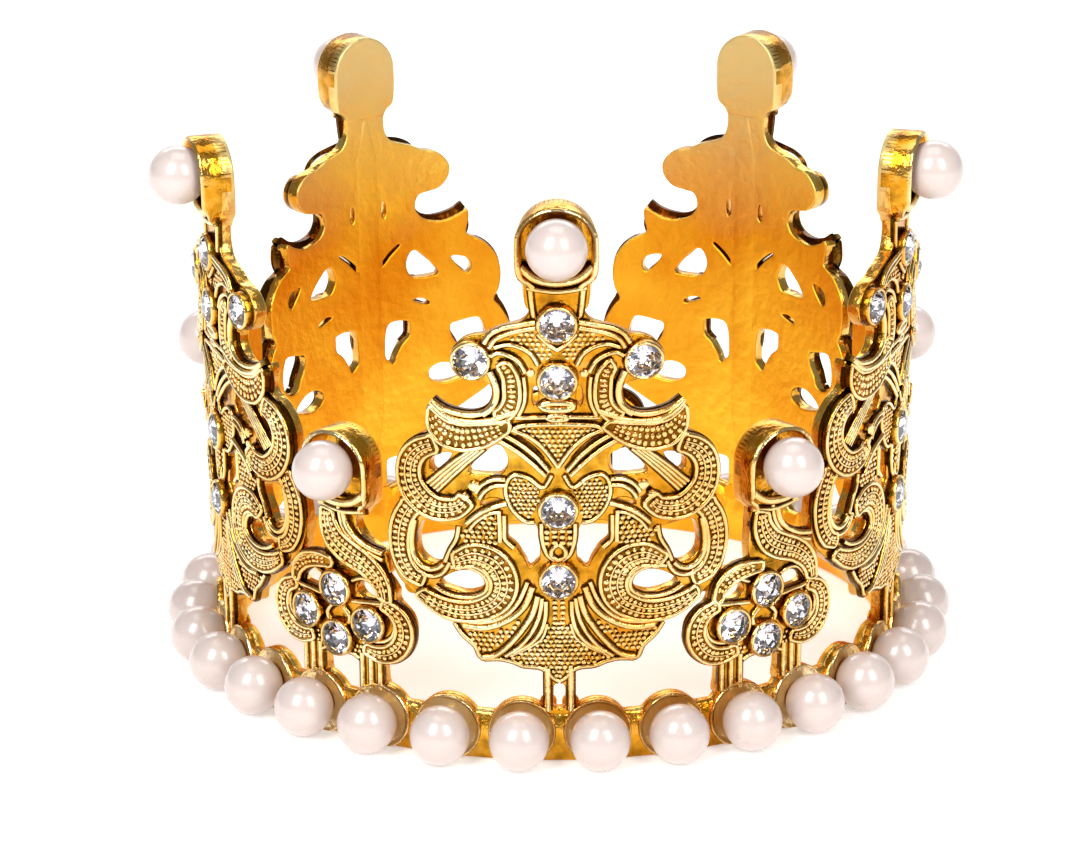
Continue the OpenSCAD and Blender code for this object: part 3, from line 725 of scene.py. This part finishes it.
def add_cup(relief, z):
    """The wall of a pearl cup, low at its feet, with a rounded lip and a curved sill below the pearl."""
    wall_half = 0.24
    # Painted highlight along the lip, and painted shade down the wall's sides
    profile = [
        (wall_half, -1.0, 0.3), (wall_half, 1.3, 0.5), (0.6 * wall_half, 1.53, 0.85), (0, 1.62, 1.0),
        (-0.6 * wall_half, 1.53, 0.85), (-wall_half, 1.3, 0.5), (-wall_half, -1.0, 0.1)
    ]
    line = line_through(cup_edge(cup_r - wall_half, z), 0.35)
    lifts = [min(1.0, 0.18 + max(0.0, (p.y - z + cup_foot * cup_r) / (0.8 * cup_r))) for p in line]
    relief.sweep(line, profile, lifts=lifts)
    relief.wire([(-0.86 * cup_r, z - 0.62 * cup_r), (-0.5 * cup_r, z - 0.92 * cup_r), (0, z - 1.02 * cup_r),
                 (0.5 * cup_r, z - 0.92 * cup_r), (0.86 * cup_r, z - 0.62 * cup_r)], 0.38, 0.75)
    relief.wire([(-0.72 * cup_r, z - 1.2 * cup_r), (0, z - 1.3 * cup_r), (0.72 * cup_r, z - 1.2 * cup_r)],
                0.24, 0.3)


add_cup(tall, cup_z)

# A soft keel up the middle of the back, which tapers out at both ends
spine = line_through([(0, 8.6), (0, 24), (0, 40.6)], 0.75)
tall.sweep(spine, [(-1.5, -1.1, 0.4), (-1.1, -1.205, 0.4), (-0.6, -1.245, 0.4), (0, -1.265, 0.4),
                   (0.6, -1.245, 0.4), (1.1, -1.205, 0.4), (1.5, -1.1, 0.4)],
           widths=[min(1.0, 0.2 + 0.16 * min(i, len(spine) - 1 - i)) for i in range(len(spine))])
half = line_through(tall_half, point_gap)

# The slot between the two posts
gap_r = 0.5
gap_top = 6.4
gap_foot = 5.1
post_gap = [
    (gap_r * math.cos(math.radians(a)),
     (gap_top if a < 180 else gap_foot) + gap_r * math.sin(math.radians(a)))
    for a in range(0, 360, 20)
]
tall_plate = plate_mesh("tall_plate", [
    [(p.x, p.y) for p in half] + [(-p.x, p.y) for p in reversed(half)],
    *[[(m * p.x, p.y) for p in line_through(hole, point_gap, True)]
      for hole in tall_openings for m in (1, -1)],
    post_gap,
    *stone_seats(tall_stones_at)
])
cup_line = line_through(cup_edge(cup_r, cup_z), point_gap)
cup_plate = plate_mesh("cup_plate", [[(p.x, p.y) for p in cup_line]], cup_thick)
tall_front = joined("tall_casting_front", [tall_plate, cup_plate, tall.mesh("tall_relief")])
tall_front.data.materials.clear()
tall_front.data.materials.append(gold)
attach(tall_front, "root")
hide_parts("tall_panel_front")
for i, name in enumerate(sides[1:], 1):
    casting = placed_copy(tall_front, f"tall_casting_{name}", math.radians(panel_step * i))
    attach(casting, "root")
    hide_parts(f"tall_panel_{name}")

# ---- Short panels ------------------------------------------------------------------------------
# Five smaller castings between the tall ones: a four-stone plaque on two legs, with a scroll that
# climbs from it to the pearl's cup. They are gold-plated zinc alloy, soldered to the band.
plaque_s = -0.8
short_stones_at = [(plaque_s + s, z) for s, z in ((0, 13.3), (-3.2, 10.7), (3.2, 10.7), (0, 8.9))]
short_cup_z = 24.4
between = ["front_right", "right", "back", "left", "front_left"]


def on_plaque(points, side=1):
    """Points measured from the plaque's own middle, on its right or left side."""
    return [(plaque_s + side * s, z) for s, z in points]


plaque = on_plaque([
    (0, 15.9), (2.2, 15.9), (4.4, 15.3), (5.6, 14.0), (5.7, 13.0), (6.9, 11.8), (7.2, 10.2), (6.4, 8.6),
    (5.2, 7.5), (4.35, 7.0), (4.3, 6.0), (4.3, 4.5), (1.95, 4.5), (1.95, 6.0), (1.9, 6.9), (1.2, 7.35),
    (0, 7.5), (-1.2, 7.35), (-1.9, 6.9), (-1.95, 6.0), (-1.95, 4.5), (-4.3, 4.5), (-4.3, 6.0),
    (-4.35, 7.0), (-5.2, 7.5), (-6.4, 8.6),
    (-7.2, 10.2), (-6.8, 11.7), (-5.3, 12.9), (-4.9, 14.0), (-4.2, 15.1), (-2.6, 15.8), (-1.2, 15.9)
])
neck = [(-2.1, 20.6), (-1.6, 21.2), (1.6, 21.2), (1.5, 20.2), (1.2, 19.4), (1.6, 18.5), (2.6, 17.7),
        (3.9, 17.2), (4.3, 16.2), (4.2, 15.2), (2.5, 14.6), (0, 14.4), (-1.8, 14.9), (-2.3, 16.6),
        (-2.3, 18.6)]
short = Relief()
short.ribbon([(-1.4, 20.3), (-1.3, 18.9), (-0.6, 17.6), (0.6, 16.8), (2.0, 16.2), (3.2, 15.3), (3.9, 14.2),
              (4.1, 13.0)],
             [1.2, 1.8, 2.2, 2.3, 2.1, 1.9, 1.6, 1.1], 0.4, 3)
short.wire([(0.2, 20.2), (0.5, 19.1), (1.3, 18.2), (2.6, 17.5), (3.9, 17.2)], 0.26, 0.3)
short.wire([(-0.3, 20.6), (0, 19.1), (0.9, 17.9), (2.4, 17.1), (3.9, 16.6)], 0.2, 0.3)
short.ribbon(on_plaque([(-4.6, 13.0), (-4.3, 14.1), (-3.3, 15.0), (-1.9, 15.4), (-0.4, 15.4)]),
             [0.8, 1.3, 1.4, 1.3, 0.9], 0.3, 2)
short.wire(on_plaque([(-5.0, 13.0), (-4.8, 14.1), (-3.9, 15.1), (-2.5, 15.6), (-1.0, 15.9)]), 0.2, 0.25)
for m in (1, -1):
    short.ribbon(on_plaque([(4.6, 12.7), (5.8, 12.1), (6.4, 11.2), (6.5, 10.1), (6.0, 9.0), (5.0, 8.3),
                            (3.8, 8.2), (2.8, 8.5)], m),
                 [1.0, 1.3, 1.6, 1.7, 1.7, 1.6, 1.4, 1.0], 0.3, 2)
    short.wire(on_plaque([(5.3, 11.9), (5.6, 11.0), (5.4, 10.0), (4.7, 9.4), (3.8, 9.2)], m), 0.2, 0.2)
    short.wire(on_plaque([(1.6, 12.4), (2.6, 12.5), (3.9, 12.6), (5.0, 12.8)], m), 0.22, 0.2)
    short.wire(on_plaque([(1.6, 14.2), (2.6, 14.6), (3.6, 14.3), (4.5, 13.3)], m), 0.2, 0.15)
    short.wire(on_plaque([(0.6, 11.6), (1.2, 10.9), (1.0, 10.3)], m), 0.25, 0.1)
    short.field(on_plaque([(2.2, 12.2), (3.6, 12.5), (4.7, 12.4), (5.2, 11.4), (4.6, 11.9), (3.2, 12.3)], m),
                0.05, 0.44)
    short.field(on_plaque([(1.7, 8.6), (2.6, 9.0), (3.4, 8.9), (2.8, 7.9), (1.6, 7.8)], m), 0.05, 0.44)
    for s in (2.25, 3.12, 4.0):
        short.wire(on_plaque([(s, 7.9), (s, 6.6), (s, 4.9)], m), 0.26, 0.0)
    short.wire(on_plaque([(2.0, 7.3), (1.2, 7.65), (0, 7.7)], m), 0.2, 0.05)
for at in short_stones_at:
    short.bezel(at, stone_r)
add_cup(short, short_cup_z)
short_hole = [(4.7, 12.9), (3.9, 13.9), (2.4, 14.3), (1.9, 13.4), (2.9, 12.7)]
short_plate = plate_mesh("short_plate", [
    [(p.x, p.y) for p in line_through(plaque, point_gap, True)],
    *[[(p.x, p.y) for p in line_through(on_plaque(short_hole, m), 0.25, True)] for m in (1, -1)],
    *stone_seats(short_stones_at)
])
neck_plate = plate_mesh("neck_plate", [[(p.x, p.y) for p in line_through(neck, point_gap, True)]])
short_cup_line = line_through(cup_edge(cup_r, short_cup_z), point_gap)
short_cup_plate = plate_mesh("short_cup_plate", [[(p.x, p.y) for p in short_cup_line]], cup_thick)
short_first = joined("short_casting", [short_plate, neck_plate, short_cup_plate, short.mesh("short_relief")])
short_first.data.materials.clear()
short_first.data.materials.append(gold)
for i, name in enumerate(between):
    casting = placed_copy(short_first, f"short_casting_{name}", math.radians(panel_step * (i + 0.5)))
    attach(casting, "root")
    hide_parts(f"short_panel_{name}")
bpy.data.objects.remove(short_first)

# ---- Band --------------------------------------------------------------------------------------
# The ring that carries everything: gold-plated zinc alloy, cast flat with thirty round pearl seats
# and rolled. It is smooth inside, and its scalloped top follows the seats.
ring_r = 32.0
pearl_r = 2.5
pearl_z = 2.6
pad_r = 2.84
band_h = 4.225
pearl_count = 30
steps_per_pearl = 16
ring_steps = pearl_count * steps_per_pearl
points, faces, painted_lights_and_patina, backs = [], [], [], []
# Each point carries painted light: a painted highlight along the top edges, a middle value on the outer face
for i in range(ring_steps):
    turn = 2 * math.pi * i / ring_steps
    off = ((i / steps_per_pearl) % 1 - 0.5) * 2 * math.pi * face_r / pearl_count
    top = max(band_h, pearl_z + math.sqrt(max(0, pad_r ** 2 - off ** 2)))
    section = [
        (bore_r + 0.2, ground, 0.4, 1), (face_r - 0.15, ground, 0.4, 0), (face_r, 0.2, 0.4, 0),
        (face_r, 0.5 * top, 0.4, 0), (face_r, top - 0.25, 0.5, 0), (face_r - 0.2, top - 0.04, 0.75, 0),
        (face_r - 0.5, top, 0.7, 0), (bore_r + 0.5, top, 0.6, 0.6), (bore_r + 0.2, top - 0.05, 0.6, 1),
        (bore_r, top - 0.25, 0.4, 1), (bore_r, 0.5 * top, 0.4, 1), (bore_r, 0.2, 0.4, 1)
    ]
    for r, z, tone, back in section:
        points.append((r * math.sin(turn) * mm, -r * math.cos(turn) * mm, z * mm))
        painted_lights_and_patina.append(tone)
        backs.append(back)
ring = len(section)
for i in range(ring_steps):
    here, there = i * ring, (i + 1) % ring_steps * ring
    for k in range(ring):
        j = (k + 1) % ring
        faces.append((here + k, here + j, there + j, there + k))
ring_mesh = bpy.data.meshes.new("band_ring")
ring_mesh.from_pydata(points, [], faces)
ring_mesh.attributes.new("tone", "FLOAT", "POINT").data.foreach_set("value", painted_lights_and_patina)
ring_mesh.attributes.new("inner", "FLOAT", "POINT").data.foreach_set("value", backs)
# The seats are set near the pale end: a painted reflection of the pearls above them
pads = Relief()
for i in range(pearl_count):
    at = ((i + 0.5) * 2 * math.pi * face_r / pearl_count, pearl_z)
    pads.turned(at, [
        (pad_r - 1.35, -0.2, 1.0), (pad_r - 1.35, 0.05, 1.0), (pad_r - 0.5, 0.08, 1.0),
        (pad_r - 0.3, 0.14, 0.9), (pad_r - 0.22, 0.28, 0.8), (pad_r - 0.12, 0.3, 1.0),
        (pad_r - 0.03, 0.2, 0.9), (pad_r, 0.0, 0.5), (pad_r, -0.3, 0.3)
    ], 32)
pad_mesh = pads.mesh("band_pads")
pad_mesh.attributes["inner"].data.foreach_set("value", [0.0] * len(pads.points))
band = joined("band_casting", [ring_mesh, pad_mesh])
band.data.materials.clear()
band.data.materials.append(gold)
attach(band, "root")
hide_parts("base_band")

# ---- Pearls ------------------------------------------------------------------------------------
# Half-drilled imitation pearls: moulded ABS beads dipped in a pinkish white nacre lacquer. Five
# groups of six stand on the band and one pearl in each cup, all glued over cast pegs.

# The lacquer is a clear glossy coat over a soft pearly body: blotches 3.8 mm across vary its sheen,
# and dust in the coat is drawn 0.7 mm across, far coarser than real, so that it shows.
nacre, output = new_material("nacre_lacquered_abs")
place = add_node(nacre, "ShaderNodeTexCoord")
blotch = add_node(nacre, "ShaderNodeTexNoise", {},
                  {"Vector": place.outputs["Object"], "Scale": 0.26 / mm, "Detail": 3.0})
body = add_node(nacre, "ShaderNodeMix", {"data_type": "RGBA"},
                {"Factor": blotch.outputs["Fac"], "A": linear("#DBD6D3"), "B": linear("#E7E2DF")})
dust = add_node(nacre, "ShaderNodeTexNoise", {},
                {"Vector": place.outputs["Object"], "Scale": 1.5 / mm, "Detail": 2.0})
bump = add_node(nacre, "ShaderNodeBump", {},
                {"Height": dust.outputs["Fac"], "Strength": 0.1, "Distance": 0.05 * mm})
soft = add_node(nacre, "ShaderNodeMapRange", {},
                {"Value": blotch.outputs["Fac"], "To Min": 0.24, "To Max": 0.36})
shell = add_node(nacre, "ShaderNodeBsdfPrincipled", {},
                 {"Base Color": body.outputs["Result"], "Roughness": soft.outputs["Result"],
                  "Normal": bump.outputs["Normal"], "Specular IOR Level": 0.8,
                  "Coat Weight": 1.0, "Coat Roughness": 0.2, "Coat IOR": 1.6, "Coat Tint": linear("#EFE4E0"),
                  "Sheen Weight": 0.05, "Sheen Tint": linear("#F3C9C4"),
                  "Subsurface Weight": 0.2, "Subsurface Scale": 0.8 * mm})
nacre.node_tree.links.new(shell.outputs[0], output.inputs["Surface"])


def add_pearls(name, places):
    """One piece of pearls at (turn, radius, height) in degrees and mm."""
    bpy.ops.object.select_all(action="DESELECT")
    beads = []
    for turn, r, z in places:
        angle = math.radians(turn)
        bpy.ops.mesh.primitive_uv_sphere_add(
            segments=40, ring_count=24, radius=pearl_r * mm,
            location=(r * math.sin(angle) * mm, -r * math.cos(angle) * mm, z * mm))
        beads.append(bpy.context.object)
    for bead in beads:
        bead.select_set(True)
    bpy.context.view_layer.objects.active = beads[0]
    if len(beads) > 1:
        bpy.ops.object.join()
    bpy.ops.object.transform_apply(location=True, rotation=True, scale=True)
    bpy.ops.object.shade_smooth()
    piece = bpy.context.object
    piece.name = piece.data.name = name
    piece.data.materials.append(nacre)
    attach(piece, "root")
    return piece


pearl_step = 360 / pearl_count
for i, name in enumerate(sides):
    turns = [panel_step * i + (k - 2.5) * pearl_step for k in range(6)]
    row = add_pearls(f"band_beads_{name}", [(turn, ring_r, pearl_z) for turn in turns])
    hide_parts(f"band_pearls_{name}")
    bead = add_pearls(f"tall_bead_{name}", [(panel_step * i, face_radius(cup_z) + finial_out, cup_z)])
    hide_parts(f"tall_pearl_{name}")
for i, name in enumerate(between):
    spot = (panel_step * (i + 0.5), face_radius(short_cup_z) + finial_out, short_cup_z)
    bead = add_pearls(f"short_bead_{name}", [spot])
    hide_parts(f"short_pearl_{name}")

# ---- Stones ------------------------------------------------------------------------------------
# Round brilliant-cut chatons, ground from clear glass and mirrored behind with silver foil. They are
# glued into the bezels, whose lips hold their edges.

# Polished glass, with smears about 1 mm across that dull it a little
crystal, output = new_material("cut_glass")
place = add_node(crystal, "ShaderNodeTexCoord")
smear = add_node(crystal, "ShaderNodeTexNoise", {}, {"Vector": place.outputs["Object"], "Scale": 0.9 / mm})
polish = add_node(crystal, "ShaderNodeMapRange", {},
                  {"Value": smear.outputs["Fac"], "To Min": 0.0, "To Max": 0.03})
glass = add_node(crystal, "ShaderNodeBsdfPrincipled", {},
                 {"Base Color": linear("#FFFFFF"), "Transmission Weight": 1.0, "IOR": 1.54,
                  "Roughness": polish.outputs["Result"]})
crystal.node_tree.links.new(glass.outputs[0], output.inputs["Surface"])

# Bright foil, with tarnish in specks of about 0.8 mm
foil, output = new_material("silver_foil")
place = add_node(foil, "ShaderNodeTexCoord")
tarnish = add_node(foil, "ShaderNodeTexNoise", {}, {"Vector": place.outputs["Object"], "Scale": 1.2 / mm})
foil_tint = add_node(foil, "ShaderNodeMix", {"data_type": "RGBA"},
                     {"Factor": tarnish.outputs["Fac"], "A": linear("#F4F2F6"), "B": linear("#DCD8E0")})
mirror = add_node(foil, "ShaderNodeBsdfPrincipled", {},
                  {"Base Color": foil_tint.outputs["Result"], "Metallic": 1.0, "Roughness": 0.03})
foil.node_tree.links.new(mirror.outputs[0], output.inputs["Surface"])

# Rings of eight facet corners, from the table down to the point: share of the radius, height, turn
girdle_h = 0.6
facet_rings = [
    (0.55, 0.42, 0), (0.80, 0.27, 22.5), (0.99, 0.03, 0), (0.99, 0.03, 22.5), (0.99, -0.03, 0),
    (0.99, -0.03, 22.5), (0.62, -0.53, 0), (0.2, -0.97, 22.5)
]
cut = []
for k in range(8):
    for size, up, off in facet_rings:
        turn = math.radians(45 * k + off)
        cut.append((size * stone_r * math.cos(turn), size * stone_r * math.sin(turn), up))


def add_stones(name, places, turn):
    """One piece of stones at (along, up) places of the flat drawing, each set a little askew."""
    askew = 0.05
    foil_below = -0.05
    work = bmesh.new()
    for n, (s, z) in enumerate(places):
        here = bmesh.new()
        spin = (Matrix.Rotation(0.7 * n + turn, 3, "Z")
                @ Matrix.Rotation(askew * math.sin(5 * n + 3 * turn), 3, "X")
                @ Matrix.Rotation(askew * math.cos(3 * n + 7 * turn), 3, "Y"))
        for point in cut:
            here.verts.new(spin @ Vector(point))
        bmesh.ops.convex_hull(here, input=here.verts)
        bmesh.ops.dissolve_limit(here, angle_limit=math.radians(1.5), verts=here.verts, edges=here.edges)
        for face in here.faces:
            face.material_index = 1 if face.calc_center_median().z < foil_below else 0
        for v in here.verts:
            v.co = Vector(rolled(s + v.co.x, z + v.co.y, girdle_h + v.co.z))
        part = bpy.data.meshes.new("cut")
        here.to_mesh(part)
        here.free()
        work.from_mesh(part)
        bpy.data.meshes.remove(part)
    bmesh.ops.recalc_face_normals(work, faces=work.faces)
    mesh = bpy.data.meshes.new(name)
    work.to_mesh(mesh)
    work.free()
    mesh.transform(Matrix.Rotation(turn, 4, "Z"))
    mesh.materials.append(crystal)
    mesh.materials.append(foil)
    piece = bpy.data.objects.new(name, mesh)
    bpy.context.scene.collection.objects.link(piece)
    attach(piece, "root")
    return piece


for i, name in enumerate(sides):
    stones = add_stones(f"tall_chatons_{name}", tall_stones_at, math.radians(panel_step * i))
    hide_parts(f"tall_stones_{name}")
for i, name in enumerate(between):
    stones = add_stones(f"short_chatons_{name}", short_stones_at, math.radians(panel_step * (i + 0.5)))
    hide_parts(f"short_stones_{name}")

# ---- Solder ------------------------------------------------------------------------------------
# Small flat tacks of solder on the inside, where a panel's foot meets the band and where neighbouring
# panels' arms meet. They are gold plated with the rest, and keep the shape that the frame gives them.

# Plating over unpolished solder: satin, with lumps about 1 mm across
tacks, output = new_material("gold_plated_solder")
place = add_node(tacks, "ShaderNodeTexCoord")
lumps = add_node(tacks, "ShaderNodeTexNoise", {},
                 {"Vector": place.outputs["Object"], "Scale": 1.0 / mm, "Detail": 4.0})
tack_tint = add_node(tacks, "ShaderNodeMix", {"data_type": "RGBA"},
                     {"Factor": lumps.outputs["Fac"], "A": linear("#E59C10"), "B": linear("#F4B42A")})
bump = add_node(tacks, "ShaderNodeBump", {},
                {"Height": lumps.outputs["Fac"], "Strength": 0.5, "Distance": 0.1 * mm})
plated = add_node(tacks, "ShaderNodeBsdfPrincipled", {},
                  {"Base Color": tack_tint.outputs["Result"], "Metallic": 1.0, "Roughness": 0.4,
                   "Normal": bump.outputs["Normal"]})
tacks.node_tree.links.new(plated.outputs[0], output.inputs["Surface"])
for name in ("foot_solder", "side_solder"):
    for piece in bpy.data.objects:
        if piece.type == "MESH" and piece.name.startswith(name):
            piece.data.materials.clear()
            piece.data.materials.append(tacks)
